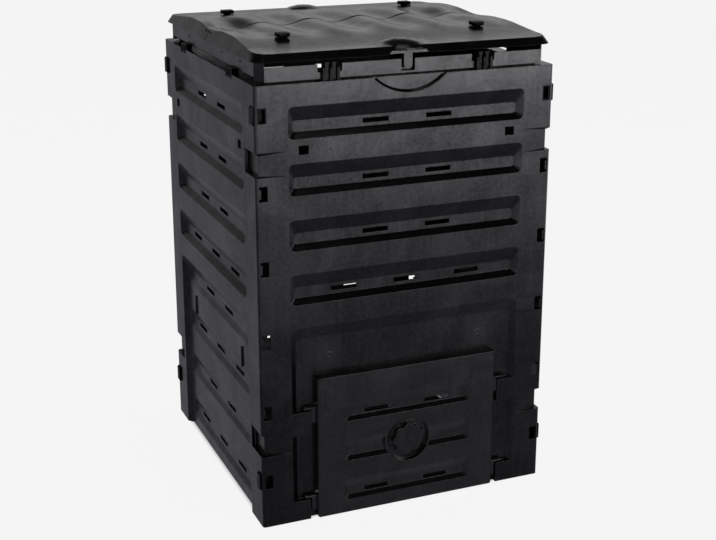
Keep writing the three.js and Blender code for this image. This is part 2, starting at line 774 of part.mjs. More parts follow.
function doorKnob() {
  const base = disc(knob.baseRadius, knobCup.sides, baseFront, baseBack);
  const grip = through(gripOutline(), knobFace, baseFront + knob.baseThick / 2);
  const shaftEnd = retainerFront + retainer.thick;
  const shaft = disc(spindle.radius, spindle.sides, baseBack - knob.baseThick / 2, shaftEnd);
  return cutBy(joined([base, grip, shaft]), ventHoles(0, baseFront - overrun, baseBack + overrun));
}

function knobRetainer() {
  const back = retainerFront + retainer.thick;
  const washer = disc(retainer.radius, spindle.sides, retainerFront, back);
  const hole = disc(spindle.radius + clearance, spindle.sides, retainerFront - overrun, back + overrun);
  return cutBy(washer, [hole]);
}

// Lid frame
const quarter = Math.PI / 2;
const cornerTurn = Math.atan2(frame.half - frame.cornerX, frame.half - frame.cornerY);

function framePlan(inset) {
  const half = frame.half - inset;
  const x = frame.cornerX - inset * Math.tan((quarter - cornerTurn) / 2);
  const y = frame.cornerY - inset * Math.tan(cornerTurn / 2);
  return [[half, y], [x, half], [-x, half], [-half, y], [-half, -y], [-x, -half], [x, -half], [half, -y]];
}

function frameRing(outer, inner, z0, z1) {
  const shape = shapeOf(framePlan(outer));
  shape.holes.push(new THREE.Path(framePlan(inner).map(([x, y]) => new THREE.Vector2(x, y))));
  return rise(shape, z0, z1);
}

// Round-topped ear about the hinge line, from below
function earOutline(side, radius, low) {
  const y = side * hinge.inset;
  const top = Array.from({ length: hinge.earSteps + 1 }, (_, i) => {
    const angle = (Math.PI * i) / hinge.earSteps;
    return [y + radius * Math.cos(angle), hingeZ + radius * Math.sin(angle)];
  });
  return [...top, [y - radius, low], [y + radius, low]];
}

function hingeRound(side, radius) {
  return ring(radius, hinge.sides, side * hinge.inset, hingeZ);
}

function spanOf(a, b) {
  return a < b ? [a, b] : [b, a];
}

function frameEars() {
  const pairs = [-1, 1].flatMap((wing) => [-1, 1].map((side) => ({ wing, side })));
  const low = frame.sideLow + frame.thick / 2;
  return {
    ears: pairs.flatMap(({ wing, side }) => [
      sideways(
        earOutline(wing, hinge.earRadius, low),
        ...spanOf(side * earInner, side * earOuter),
      ),
      box(
        side * earInner, side * (frame.half - seamStrip.thick / 2), wing * (hinge.inset - earBaseHalf),
        wing * (hinge.inset + hinge.earRadius), low, frame.sideHigh - frame.thick,
      ),
    ]),
    holes: pairs.map(({ wing, side }) => sideways(
      hingeRound(wing, hinge.pinRadius + runningGap),
      ...spanOf(side * (earInner - overrun), side * (frame.half + overrun)),
    )),
  };
}

function lidFrame() {
  const channel = frame.legInset + frame.thick;
  const top = frame.sideHigh + overrun;
  const strip = frameRing(0, frame.thick, frame.endLow, frame.sideHigh);
  const web = frameRing(0, channel, frame.endLow, frame.endLow + frame.thick);
  const leg = frameRing(frame.legInset, channel, wallHeight + clearance, frame.sideLow + frame.thick);
  const underSides = mirroredPair((side) => box(
    side * (frame.half - channel - overrun), side * (frame.half + overrun), -frame.cornerY, frame.cornerY,
    wallHeight, frame.sideLow,
  ));
  const thinned = mirroredPair((side) => box(
    side * (frame.half - channel), side * (frame.half - seamStrip.thick), -seamStrip.halfLength,
    seamStrip.halfLength, frame.sideHigh - seamStrip.below, top,
  ));
  const sideWebs = mirroredPair((side) => box(
    side * (frame.half - channel), side * (frame.half - frame.thick / 2), -frame.cornerY, frame.cornerY,
    frame.sideLow, frame.sideLow + frame.thick,
  ));
  const endCuts = mirroredPair((side) => {
    const depth = [side * (frame.half - frame.thick - overrun), side * (frame.half + overrun)];
    const cut = (x0, x1, low) => box(x0, x1, ...depth, low, top);
    return [
      cut(-frame.cornerX, frame.cornerX, frame.endHigh),
      cut(-latchCut.width / 2, latchCut.width / 2, frame.endLow + latchCut.floor),
      ...mirroredPair((end) => cut(
        end * bracketOffset - bracketCut.width / 2, end * bracketOffset + bracketCut.width / 2,
        frame.endLow + bracketCut.floor,
      )),
    ];
  }).flat();
  const drainZ = frame.sideHigh - frameDrain.drop;
  const drains = mirroredPair((side) => frameDrain.placeShares.map((share) => box(
    side * (frame.half - frame.thick - overrun), side * (frame.half + overrun),
    -side * share * frame.half - frameDrain.width / 2, -side * share * frame.half + frameDrain.width / 2,
    drainZ - frameDrain.height / 2, drainZ + frameDrain.height / 2,
  ))).flat();
  const { ears, holes } = frameEars();
  const opened = cutBy(joined([strip, web, leg]), [...underSides, ...thinned, ...endCuts, ...drains]);
  return cutBy(joined([opened, ...sideWebs, ...ears]), holes);
}

// Frame bracket at the front and back: a ribbed comb that straddles the strip and stands on the wall top.
// Drawn with the strip's outer face at zero depth.
function frameBracket() {
  const low = wallHeight + clearance;
  const half = bracket.width / 2;
  const webFace = -clearance - bracket.web;
  const top = frame.endHigh - bracket.topDrop;
  const web = box(-half, half, webFace, -clearance, low, top - bracket.lip);
  const bridgeLow = frame.endLow + bracketCut.floor + clearance;
  const bridgeHigh = bridgeLow + bracket.lip;
  const innerFace = frame.thick + clearance;
  const bridge = box(-half, half, webFace, innerFace + bracket.lip, bridgeLow, bridgeHigh);
  const leg = box(-half, half, innerFace, innerFace + bracket.lip, bridgeLow - bracket.legDrop, bridgeHigh);
  const step = (bracket.width - bracket.rib) / (bracket.ribs - 1);
  const profile = [
    [-clearance, low], [-clearance, top], [webFace, top], [-bracket.proud, top - bracket.slope],
    [-bracket.proud, low],
  ];
  const ribs = Array.from({ length: bracket.ribs }, (_, i) => (
    sideways(profile, -half + step * i, -half + step * i + bracket.rib)
  ));
  return joined([web, bridge, leg, ...ribs]);
}

// Frame bracket at the sides: a toothed saddle on the notched wall edge, under the frame's side strip.
// Drawn with the wall's outer face at zero depth.
function frameSaddle() {
  const low = wallHeight - sideNotch.drop + clearance;
  const high = frame.sideLow - clearance;
  const half = bracket.width / 2;
  const block = box(-half, half, saddle.face, saddle.inner, low, high);
  const behind = skin + clearance;
  const lip = box(-half, half, behind, behind + bracket.lip, low - saddle.lipDrop, low + bracket.lip);
  const gaps = mirroredPair((side) => box(
    side * (saddle.tooth / 2), side * (saddle.tooth / 2 + saddle.gap), saddle.face - overrun,
    saddle.face + saddle.toothDepth, low + bracket.lip, high - bracket.lip,
  ));
  return cutBy(joined([block, lip]), gaps);
}

// Lid wing, drawn on the door side of the seam
function smoothShare(length, run) {
  const t = Math.min(Math.max(length / run, 0), 1);
  return t * t * (3 - 2 * t);
}

// Each wing is crowned from its outer edge and falls again to the seam at its sides
function lidSurface(x, y) {
  const [acrossX, acrossY] = [Math.abs(x), Math.abs(y)];
  const rise = crown.height * smoothShare(lid.topHalf - acrossY, crown.run);
  const sideShare = 1 - smoothShare(wave.last - acrossX, crown.sideRun);
  const fall = crown.sideFall * sideShare * smoothShare(crown.fallRun - acrossY, crown.fallRun);
  const waveShare = smoothShare(wave.faded - acrossY, wave.faded - wave.flat)
    * smoothShare(wave.last - acrossX, wave.sideRun);
  const phase = (2 * Math.PI * (x - wave.shift)) / wave.pitch;
  return lid.edgeTop + rise - fall + wave.height * waveShare * Math.cos(phase);
}

// The seam edge keeps within the hinge radius, so that neither wing crosses the middle as it turns
function seamEdge(x) {
  const height = lidSurface(x, 0) - hingeZ;
  return Math.sqrt((hinge.inset - seamGap) ** 2 - height ** 2) - hinge.inset;
}

// Block under the waved surface lowered by a drop, up to the seam edge or past it
function waveBlock(drop, past) {
  const reach = lid.edgeHalf + overrun;
  const step = wave.pitch / lidSteps.perWave;
  const first = Math.ceil((-wave.last - wave.shift) / step + halfStepShare);
  const last = Math.floor((wave.last - wave.shift) / step - halfStepShare);
  const inner = Array.from({ length: last - first + 1 }, (_, i) => wave.shift + step * (first + i));
  const xs = [-reach, -wave.last, ...inner, wave.last, reach];
  const rows = lidSteps.along + 2;
  const positions = [];
  for (const under of [false, true]) {
    for (let j = 0; j < rows; j += 1) {
      for (const x of xs) {
        const edge = seamEdge(x) + past;
        const run = ((j - 1) / lidSteps.along) * (lid.topHalf + edge);
        const y = j === 0 ? -reach : -lid.topHalf + run;
        positions.push(x, y, under ? lid.edgeLow - overrun : lidSurface(x, y) - drop);
      }
    }
  }
  const across = xs.length;
  const layer = across * rows;
  const index = [];
  for (let j = 0; j < rows - 1; j += 1) {
    for (let i = 0; i < across - 1; i += 1) {
      const a = j * across + i;
      const b = a + 1;
      const [c, d] = [b + across, a + across];
      index.push(a, b, c, a, c, d);
      index.push(a + layer, c + layer, b + layer, a + layer, d + layer, c + layer);
    }
  }
  const seam = (rows - 1) * across;
  const edge = [];
  for (let i = 0; i < across - 1; i += 1) edge.push([i, i + 1], [seam + i + 1, seam + i]);
  for (let j = 0; j < rows - 1; j += 1) {
    edge.push([(j + 1) * across - 1, (j + 2) * across - 1], [(j + 1) * across, j * across]);
  }
  for (const [a, b] of edge) index.push(b, a, a + layer, b, a + layer, b + layer);
  const geometry = new THREE.BufferGeometry();
  geometry.setAttribute('position', new THREE.Float32BufferAttribute(positions, 3));
  geometry.setIndex(index);
  return solid(geometry);
}

// Tapered block inside the sloping rim
const aboveLid = lid.edgeTop + crown.height + wave.height + dome.height + overrun;
const rimSlope = (lid.edgeHalf - lid.topHalf) / (lid.edgeTop - lid.edgeLow);

function rimBlank(inset, low) {
  const section = (z) => {
    const half = lid.edgeHalf - inset - (z - lid.edgeLow) * rimSlope;
    return { points: roundedOutline(half, -half, half, lid.cornerRadius - inset, lid.cornerSteps), y: z };
  };
  return loft([section(low), section(aboveLid)]).rotate([90, 0, 0]);
}

// Room for the thumb under the dome, where the rim is set back
function thumbRoom(grow) {
  const high = lid.edgeLow + thumbNotch.high + grow;
  const low = lid.edgeLow - dome.height;
  return through([
    [-thumbNotch.halfLow - grow, low], [thumbNotch.halfLow + grow, low],
    [thumbNotch.halfTop + grow, high], [-thumbNotch.halfTop - grow, high],
  ], -lid.edgeHalf - dome.proud - overrun, -lid.edgeHalf + thumbNotch.set + grow);
}

// Skin of a wing with its dome handle: the outer form less the same form inside
function wingSkin() {
  const rimInset = lid.skin * Math.hypot(1, rimSlope);
  const outer = rimBlank(0, lid.edgeLow).intersect(waveBlock(0, 0));
  const inner = rimBlank(rimInset, lid.edgeLow - overrun).intersect(waveBlock(lid.skin, overrun));
  return cutBy(
    cutBy(outer.add(domeSolid(0)), [thumbRoom(0)]),
    [cutBy(inner.add(domeSolid(lid.skin)), [thumbRoom(lid.skin)])],
  );
}

// Hinge lugs under the skin, each with a pin that turns in a frame ear
function wingLugs() {
  const top = lidSurface(earInner, hinge.inset) - lid.skin / 2;
  const lugFace = earInner - runningGap;
  const lugOutline = earOutline(-1, hinge.earRadius, top).map(([y, z]) => (
    [y, z === top ? top : 2 * hingeZ - z]
  )).reverse();
  return mirroredPair((side) => [
    sideways(lugOutline, ...spanOf(side * (lugFace - hinge.lugThick), side * lugFace)),
    sideways(
      hingeRound(-1, hinge.pinRadius),
      ...spanOf(side * (lugFace - hinge.lugThick / 2), side * earOuter),
    ),
  ]).flat();
}

const domeY = dome.radius - lid.edgeHalf - dome.proud;

function domeSolid(shrink) {
  const top = lid.edgeTop + dome.height - shrink;
  const radius = dome.radius - shrink;
  const low = shrink ? lid.edgeLow - overrun : lid.edgeLow;
  const shoulder = domeLevels.map(({ radiusShare, fallShare }) => (
    [radius * radiusShare, top - dome.height * fallShare]
  ));
  const profile = [[0, low], [radius, low], ...shoulder, [0, top]];
  const geometry = new THREE.LatheGeometry(profile.map(([r, z]) => new THREE.Vector2(r, z)), dome.sides);
  geometry.rotateX(quarter);
  geometry.translate(0, domeY, 0);
  return solid(geometry);
}

function latchTabOutline() {
  const half = latchTab.width / 2;
  const top = lid.edgeTop - latchTab.topDrop;
  const steps = hinge.earSteps;
  const round = Array.from({ length: steps + 1 }, (_, i) => {
    const angle = Math.PI + (Math.PI * i) / steps;
    return [half * Math.cos(angle), top - latchTab.height + half + half * Math.sin(angle)];
  });
  return [...round, [half, top], [-half, top]];
}

function topClipCuts() {
  const halfX = topClip.shank / 2 + clearance;
  const halfY = topClip.shankWidth / 2 + clearance;
  return mirroredPair((side) => box(
    side * topClip.x - halfX, side * topClip.x + halfX, -brace.y - halfY, -brace.y + halfY,
    lid.edgeLow, aboveLid,
  ));
}

function lidWing() {
  const tab = through(latchTabOutline(), -frame.half, -frame.half + latchTab.thick);
  const holes = mirroredPair((side) => box(
    side * dome.holeOffset - dome.holeWidth / 2, side * dome.holeOffset + dome.holeWidth / 2,
    domeY - dome.holeLength / 2, domeY + dome.holeLength / 2, lid.edgeTop, aboveLid,
  ));
  const slits = mirroredPair((side) => box(
    side * (frame.half - seamStrip.thick - tailSlit.gapInside), side * (frame.half + tailSlit.gapOutside),
    -tailSlit.start, overrun,
    lid.edgeLow - overrun, aboveLid,
  ));
  const domed = cutBy(wingSkin(), holes);
  return cutBy(joined([domed, tab, ...wingLugs()]), [...slits, ...topClipCuts()]);
}

// Stiffening bar under a wing: a channel whose top face lies against the skin
const braceSides = [brace.y - brace.width / 2, brace.y + brace.width / 2];
const valleyLow = Math.min(...braceSides.map((y) => lidSurface(wave.shift + wave.pitch / 2, y)));
const braceTop = valleyLow - lid.skin - brace.gap;

function wingBrace() {
  const half = brace.width / 2;
  const low = braceTop - brace.thick;
  const profile = [
    [-brace.y - half, low - brace.lipDrop], [-brace.y - half + brace.lip, low - brace.lipDrop],
    [-brace.y - half + brace.lip, low], [-brace.y + half - brace.lip, low],
    [-brace.y + half - brace.lip, low - brace.lipDrop], [-brace.y + half, low - brace.lipDrop],
    [-brace.y + half, braceTop], [-brace.y - half, braceTop],
  ];
  return cutBy(sideways(profile, -brace.halfLength, brace.halfLength), topClipCuts());
}

// Clip on top of a wing: a bevelled head with two marks, a shank through skin and bar, a foot below
function wingClip(side) {
  const x = side * topClip.x;
  const y = -brace.y;
  const [w, d] = [topClip.width / 2, topClip.depth / 2];
  const heights = [-d, d].flatMap((across) => [-w, 0, w].map((along) => lidSurface(x + along, y + across)));
  const seat = Math.max(...heights) + clearance;
  const high = seat + topClip.height;
  const section = (grow, at) => ({
    points: [[x - w + grow, seat], [x + w - grow, seat], [x + w - grow, high], [x - w + grow, high]],
    y: at,
  });
  const head = loft([
    section(topClip.bevel, y - d), section(0, y - d + topClip.bevel),
    section(0, y + d - topClip.bevel), section(topClip.bevel, y + d),
  ]);
  const low = braceTop - brace.thick - clearance - topClip.foot;
  const post = (half, z0, z1) => box(
    x - half, x + half, y - topClip.shankWidth / 2, y + topClip.shankWidth / 2, z0, z1,
  );
  const shank = post(topClip.shank / 2, low, seat + topClip.height / 2);
  const foot = post(topClip.shank / 2 + topClip.bevel, low, low + topClip.foot);
  const marks = mirroredPair((end) => {
    const centre = x + (end * topClipMark.spacing) / 2;
    return box(
      centre - topClipMark.width / 2, centre + topClipMark.width / 2, y - topClipMark.width / 2,
      y + topClipMark.width / 2, high - topClipMark.depth, high + overrun,
    );
  });
  return cutBy(joined([head, shank, foot]), marks);
}

// Assembly
const bin = new THREE.Group();

function place(parent, name, body, material, height = 0) {
  const mesh = new THREE.Mesh(geometryOf(body), material);
  mesh.name = name;
  mesh.position.z = height;
  parent.add(mesh);
}

// A group turned about Z, whose own -Y side lies at the given distance from the middle
function sideGroup(turn, distance) {
  const group = new THREE.Group();
  group.rotation.z = turn;
  group.position.set(distance * Math.sin(turn), -distance * Math.cos(turn), 0);
  bin.add(group);
  return group;
}

const ends = [['a', -1], ['b', 1]];
const faces = [
  { name: 'front', turn: 0, make: frontWall, bracketAt: frame.half, makeBracket: frameBracket },
  { name: 'right', turn: quarter, make: sideWall, bracketAt: bodyHalf, makeBracket: frameSaddle },
  { name: 'back', turn: 2 * quarter, make: backWall, bracketAt: frame.half, makeBracket: frameBracket },
  { name: 'left', turn: -quarter, make: sideWall, bracketAt: bodyHalf, makeBracket: frameSaddle },
];

for (const { name, turn, make, bracketAt, makeBracket } of faces) {
  place(sideGroup(turn, bodyHalf), `${name}_wall`, make(), wallPlastic);
  for (const [end, sign] of ends) {
    const body = makeBracket().translate([sign * bracketOffset, 0, 0]);
    place(sideGroup(turn, bracketAt), `frame_bracket_${name}_${end}`, body, clipPlastic);
  }
}

const levels = [['low', clippedHeights[0]], ['high', clippedHeights[1]]];
for (const { name, turn } of faces.filter((face) => face.make !== sideWall)) {
  for (const [end, sign] of ends) {
    for (const [level, z] of levels) {
      const clipGroup = sideGroup(turn, bodyHalf);
      place(clipGroup, `corner_clip_${name}_${end}_${level}`, cornerClip(sign), clipPlastic, z);
    }
  }
}

const doorGroup = sideGroup(0, bodyHalf);
place(doorGroup, 'door_panel', doorPanel(), doorPlastic);
place(doorGroup, 'door_knob', doorKnob(), knobPlastic);
place(doorGroup, 'knob_retainer', knobRetainer(), clipPlastic);

place(bin, 'lid_frame', lidFrame(), wallPlastic);

// The rear wing mirrors the front one, so that their waves meet at the seam
const asDrawn = (body) => body;
const mirrored = (body) => body.mirror([0, 1, 0]);
for (const [name, facing] of [['front', asDrawn], ['rear', mirrored]]) {
  place(bin, `${name}_wing`, facing(lidWing()), lidPlastic);
  place(bin, `${name}_wing_brace`, facing(wingBrace()), lidPlastic);
  for (const [end, sign] of ends) {
    place(bin, `${name}_wing_clip_${end}`, facing(wingClip(sign)), clipPlastic);
  }
}

export default bin;
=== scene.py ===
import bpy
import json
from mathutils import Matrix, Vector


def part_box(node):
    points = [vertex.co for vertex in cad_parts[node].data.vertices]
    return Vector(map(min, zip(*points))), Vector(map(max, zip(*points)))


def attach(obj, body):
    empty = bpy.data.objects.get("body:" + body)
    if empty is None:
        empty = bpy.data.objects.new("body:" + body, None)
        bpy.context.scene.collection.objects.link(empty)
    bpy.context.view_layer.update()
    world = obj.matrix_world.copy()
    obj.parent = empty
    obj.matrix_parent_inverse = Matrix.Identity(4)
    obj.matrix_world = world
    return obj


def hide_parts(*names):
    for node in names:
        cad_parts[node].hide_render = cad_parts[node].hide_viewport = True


bl_info = {
    "name": "Compost Bin Dressing",
    "version": (1, 0, 0),
    "blender": (4, 5, 0),
    "location": "View3D > Sidebar > Compost Bin",
    "description": "Moulded surfaces and finishes for a slotted compost bin with a two-wing lid",
    "category": "Add Mesh",
}

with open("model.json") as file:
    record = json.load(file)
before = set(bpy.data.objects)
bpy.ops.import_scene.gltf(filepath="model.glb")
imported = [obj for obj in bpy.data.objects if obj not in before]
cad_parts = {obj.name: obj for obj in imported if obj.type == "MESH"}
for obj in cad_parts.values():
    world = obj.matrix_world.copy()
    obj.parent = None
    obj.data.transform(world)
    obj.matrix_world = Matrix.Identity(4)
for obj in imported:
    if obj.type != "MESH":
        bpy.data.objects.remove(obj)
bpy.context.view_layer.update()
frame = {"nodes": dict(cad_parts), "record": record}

import json
import math

import bpy
from mathutils import Vector

MM = 0.001
BODY_HALF, _, WALL_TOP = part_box("front_wall")[1]

# The finish of each wall
WALLS = {"front_wall": "wall", "right_wall": "side", "back_wall": "wall", "left_wall": "side"}
WINGS = ("front", "rear")
ENDS = ("a", "b")

# Angles in degrees: edges below the first two are shaded smooth, those above the third chamfered
FLAT_ANGLE = 14.0
ROUND_ANGLE = 30.0
CHAMFER_ANGLE = 40.0
FACE_WEIGHT = 60

# How near points are merged, and the chamfers of the smallest pieces
MERGE_REACH = 0.01 * MM
KNOB_CHAMFER = 1.1 * MM
LID_CLIP_CHAMFER = 0.8 * MM

# The wings' upper skin: its crown, its fall beside the seam and its waves, as the solids have them
LID = {
    "edge_top": 912 * MM, "top_half": 291 * MM, "crown": 11.5 * MM, "crown_run": 170 * MM,
    "fall": 5.5 * MM, "fall_run": 85 * MM, "side_run": 180 * MM,
    "wave": 5 * MM, "pitch": 105 * MM, "shift": 23 * MM,
    "flat": 60 * MM, "faded": 195 * MM, "last": 282 * MM, "wave_run": 34 * MM,
}
SKIN_REACH = 0.1 * MM
SKIN_CUTS = 3

# The slope round a finger recess follows an arc below the wall's top
FINGER_LIP = {
    "slope": 5 * MM, "radius": 102.7 * MM, "half_width": 74 * MM, "depth": 31.5 * MM, "steps": 28,
}

# The tip of a bracket's comb, and how far it is carried up
COMB = {"tip": 3.5 * MM, "rise": 8.5 * MM}

# Noise in the plastic, and the noise values between which each pattern comes in
FLOW = {"detail": 4.0, "roughness": 0.6, "distortion": 2.2}
MOTTLE = {"scale": 130.0, "detail": 6.0, "roughness": 0.7}
STREAK = {"scale": 3.0, "detail": 4.0}
STREAK_STRETCH = (55.0, 55.0, 3.0)
GRAIN = {"scale": 700.0, "detail": 2.0}
FLOW_RISE = (0.35, 0.7)
MOTTLE_RISE = (0.38, 0.62)
STREAK_RISE = (0.4, 0.75)

# What the patterns do: their shares in the gloss and in the height, and the two tones they blend
MARK_SHARES = {"flow": 0.38, "mottle": 0.26, "streak": 0.16, "all_over": 0.1}
MOTTLE_HEIGHT_SHARE = 0.8
TONE_SHARES = (0.5, 1.5)
BUMP = {"Strength": 0.3, "Distance": 0.15 * MM}
EDGE_SAMPLES = 6

# Round marks of the injection gates: places from a wall's middle and foot, then radii
GATE = {
    "aside": 157 * MM, "levels": (732 * MM, 332 * MM),
    "ring_inside": (2.5 * MM, 4.5 * MM), "ring_outside": (5.5 * MM, 7.5 * MM), "ring_height": 9.0,
    "halo": (8 * MM, 45 * MM), "halo_share": 0.35,
}

# What each finish changes in moulded_plastic
FINISHES = {
    "wall": {"marks": "X"},
    "side": {"marks": "Y"},
    "door": {"swirl_scale": 7.0, "edge_share": 0.45, "gloss": 1.6},
    "lid": {"swirl_scale": 6.0, "edge_share": 0.4},
    "frame": {"swirl_scale": 6.0, "edge_share": 0.35, "paler": 0.004},
    "clip": {"swirl_scale": 20.0, "edge_share": 0.3, "gloss": 0.3},
    "lid_clip": {"swirl_scale": 20.0, "edge_share": 0.3, "gloss": 0.15},
    "knob": {"swirl_scale": 15.0, "edge_share": 0.8, "gloss": 1.4},
}

# The floor: its own shade, and the share of white that camera rays see instead
FLOOR_SIZE = 30
FLOOR_FINISH = {"Base Color": (0.82, 0.82, 0.82, 1), "Roughness": 0.8}
WHITE = (1, 1, 1, 1)
WHITE_SHARE = 0.9
SHADED_HALF = (BODY_HALF - 20 * MM, BODY_HALF)

# What the plastic mirrors of the floor, painted as a glow that only glossy rays see, with painted
# shade near the bin and brighter far off: levels, and the distances in metres over which they change
PAINTED_FLOOR_REFLECTION = {
    "tint": (0.97, 0.97, 1.08, 1), "near": 0.2, "far": 0.9, "far_run": (0.7, 3.2),
    "behind": 0.02, "behind_run": (-0.2, 0.4), "corner_slope": 3.0,
}

# The sky's level by height, as shares of the height where it stops changing, and its tint
SKY_LEVELS = ((0.02, 0.26), (0.25, 0.24), (0.7, 0.04), (1.0, 0.02))
SKY_TOP = 0.6
SKY_BLUE = 1.02

# Each lamp's place, the point that it faces, its size and its power in watts
LAMPS = {
    "rear_wall": ((1.6, 3.05, 1.85), (0, 0, 0.9), (2.3, 1.13), 2.6),
    "front_strip": ((1.4, -3.4, 0.6), (0, 0, 0.45), (2.5, 0.5), 22),
    "ceiling": ((0, 0, 4.2), (0, 0, 0), (2.4, 2.4), 14),
}
SENSOR_WIDTH = 36.0


# Shader arithmetic
class Signal:
    """One shader value that takes part in Python arithmetic and adds its Math nodes."""

    def __init__(self, finish, socket):
        self.finish = finish
        self.socket = socket

    def _with(self, operation, *values):
        return self.finish.math(operation, *values)

    def __add__(self, other):
        return self._with("ADD", self, other)

    __radd__ = __add__

    def __sub__(self, other):
        return self._with("SUBTRACT", self, other)

    def __rsub__(self, other):
        return self._with("SUBTRACT", other, self)

    def __mul__(self, other):
        return self._with("MULTIPLY", self, other)

    __rmul__ = __mul__

    def __neg__(self):
        return self._with("MULTIPLY", self, -1.0)

    def __abs__(self):
        return self._with("ABSOLUTE", self)

    def clamped(self):
        return self.finish.node("ShaderNodeClamp", values={"Value": self}).out("Result")

    def between(self, low, high):
        """0 below low, 1 above high, smooth in between."""
        node = self.finish.node(
            "ShaderNodeMapRange",
            {"interpolation_type": "SMOOTHSTEP"},
            {"Value": self, "From Min": low, "From Max": high},
        )
        return node.out("Result")


class Placed:
    """A placed shader node whose outputs are read by name."""

    def __init__(self, finish, node):
        self.finish = finish
        self.node = node

    def out(self, name):
        found = [s for s in self.node.outputs if s.name == name and s.enabled]
        return Signal(self.finish, found[0])


class Finish:
    """The node tree of a material or of the world while it is put together."""

    def __init__(self, owner):
        owner.use_nodes = True
        self.tree = owner.node_tree
        self.tree.nodes.clear()

    def node(self, kind, settings=None, values=None):
        """Adds a node: first its settings, then the values or links of its sockets."""
        node = self.tree.nodes.new(kind)
        for key, value in (settings or {}).items():
            if key == "stops":
                ramp = node.color_ramp
                while len(ramp.elements) < len(value):
                    ramp.elements.new(1.0)
                for element, (position, shade) in zip(ramp.elements, value):
                    element.position = position
                    element.color = (*shade, 1.0)
            else:
                setattr(node, key, value)
        for key, value in (values or {}).items():
            socket = node.inputs[key] if isinstance(key, int) else next(
                s for s in node.inputs if s.name == key and s.enabled
            )
            if isinstance(value, Signal):
                self.tree.links.new(value.socket, socket)
            else:
                socket.default_value = value
        return Placed(self, node)

    def math(self, operation, *values):
        numbered = dict(enumerate(values))
        return self.node("ShaderNodeMath", {"operation": operation}, numbered).out("Value")

    def place(self, scale=(1.0, 1.0, 1.0)):
        """Object coordinates, stretched by scale."""
        coords = self.node("ShaderNodeTexCoord").out("Object")
        mapping = self.node("ShaderNodeMapping", values={"Vector": coords, "Scale": scale})
        return mapping.out("Vector")

    def split(self, where):
        return self.node("ShaderNodeSeparateXYZ", values={"Vector": where})

    def noise(self, where, scale, detail=3.0, roughness=0.55, distortion=0.0):
        return self.node(
            "ShaderNodeTexNoise",
            values={
                "Vector": where, "Scale": scale, "Detail": detail, "Roughness": roughness,
                "Distortion": distortion,
            },
        ).out("Fac")

    def blend(self, share, low, high):
        """A colour that is low where share is 0 and high where it is 1."""
        return self.node(
            "ShaderNodeMix", {"data_type": "RGBA"},
            {"Factor": share, "A": low, "B": high},
        ).out("Result")

    def principled(self, values):
        return self.node("ShaderNodeBsdfPrincipled", values=values).out("BSDF")

    def emission(self, colour, strength):
        values = {"Color": colour, "Strength": strength}
        return self.node("ShaderNodeEmission", values=values).out("Emission")

    def background(self, colour):
        return self.node("ShaderNodeBackground", values={"Color": colour}).out("Background")

    def mixed(self, share, low, high):
        """A shader that is low where share is 0 and high where it is 1."""
        return self.node("ShaderNodeMixShader", values={0: share, 1: low, 2: high}).out("Shader")

    def surface(self, shader, kind="ShaderNodeOutputMaterial"):
        self.node(kind, values={"Surface": shader})


def gate_marks(finish, where, axis):
    """The rings that the injection gates leave on a wall, and the glossy halo round each."""
    spot = finish.split(where)
    aside = abs(spot.out(axis)) - GATE["aside"]
    above = finish.math("MINIMUM", *(abs(spot.out("Z") - level) for level in GATE["levels"]))
    away = finish.math("SQRT", aside * aside + above * above)
    ring = away.between(*GATE["ring_inside"]) * (1 - away.between(*GATE["ring_outside"]))
    return ring, 1 - away.between(*GATE["halo"])


def moulded_plastic(
    name, look, swirl_scale=5.0, edge_share=1.0, marks=None, gloss=1.0, paler=0.0,
):
    """Black moulded plastic: flow marks and mottling in its gloss, a fine grain, rounded edges.

    edge_share is the share of the set edge radius, marks names the axis along a wall that carries
    the gate marks, gloss raises or lowers the reflection, and paler is added to the colour.
    """
    material = bpy.data.materials.new(name)
    finish = Finish(material)
    where = finish.place()
    flow = finish.noise(where, swirl_scale, **FLOW).between(*FLOW_RISE)
    mottle = finish.noise(where, **MOTTLE).between(*MOTTLE_RISE)
    streak = finish.noise(finish.place(STREAK_STRETCH), **STREAK).between(*STREAK_RISE)
    grain = finish.noise(where, **GRAIN)
    mark = flow * MARK_SHARES["flow"] + mottle * MARK_SHARES["mottle"]
    mark = mark + streak * MARK_SHARES["streak"] + MARK_SHARES["all_over"]
    height = grain + mottle * MOTTLE_HEIGHT_SHARE
    if marks:
        ring, halo = gate_marks(finish, where, marks)
        mark = mark + halo * GATE["halo_share"]
        height = height + ring * GATE["ring_height"]
    mark = mark.clamped()
    dark, light = (
        (*(part * share + paler for part in look.colour), 1.0) for share in TONE_SHARES
    )
    rounded = finish.node(
        "ShaderNodeBevel", {"samples": EDGE_SAMPLES}, {"Radius": look.edge * edge_share},
    ).out("Normal")
    bump = finish.node("ShaderNodeBump", values={**BUMP, "Height": height, "Normal": rounded})
    finish.surface(finish.principled({
        "Base Color": finish.blend(mark, dark, light),
        "Roughness": look.roughness - look.variation * 0.5 + mark * look.variation,
        "Coat Weight": mark * (look.sheen * min(gloss, 1.0)),
        "Coat Roughness": look.roughness,
        "IOR": 1.0 + (look.index - 1.0) * gloss,
        "Normal": bump.out("Normal"),
    }))
    return material


# The finished materials by name, filled by the first step
MATERIALS = {}


# Mesh work
def deselect_all():
    if bpy.context.object and bpy.context.object.mode != "OBJECT":
        bpy.ops.object.mode_set(mode="OBJECT")
    bpy.ops.object.select_all(action="DESELECT")


def activate(piece):
    deselect_all()
    piece.select_set(True)
    bpy.context.view_layer.objects.active = piece


def select_parts(piece, kind, wanted):
    """Opens a piece in edit mode with only the wanted vertices or faces selected."""
    activate(piece)
    bpy.ops.object.mode_set(mode="EDIT")
    bpy.ops.mesh.select_mode(type=kind)
    bpy.ops.mesh.select_all(action="DESELECT")
    bpy.ops.object.mode_set(mode="OBJECT")
    parts = piece.data.polygons if kind == "FACE" else piece.data.vertices
    for part in parts:
        part.select = wanted(part)
    bpy.ops.object.mode_set(mode="EDIT")


